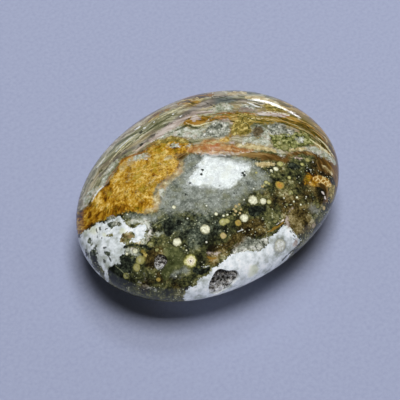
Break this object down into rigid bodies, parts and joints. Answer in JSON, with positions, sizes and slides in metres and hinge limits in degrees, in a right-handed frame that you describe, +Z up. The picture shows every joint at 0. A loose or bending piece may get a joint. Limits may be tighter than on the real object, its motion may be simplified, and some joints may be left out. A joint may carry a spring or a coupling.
{
  "type": "ocean jasper palm stone",
  "caption": "Polished oval palm stone of ocean jasper with bands, orbs, white and honey patches, and small hollows lined with quartz crystals.",
  "frame": {"origin": "On the surface the stone rests on, under the middle of its bounding box.", "axes": "+X along the stone's length, +Y across its width, +Z up through its thickness."},
  "size_m": [0.0656, 0.0508, 0.022],
  "materials": {
    "polished_jasper": "polished",
    "quartz_crystals": "gloss"
  },
  "bodies": {
    "root": {"stone": "polished_jasper", "druzy_crust": "quartz_crystals", "small_pit_crust": "quartz_crystals"}
  },
  "joints": []
}
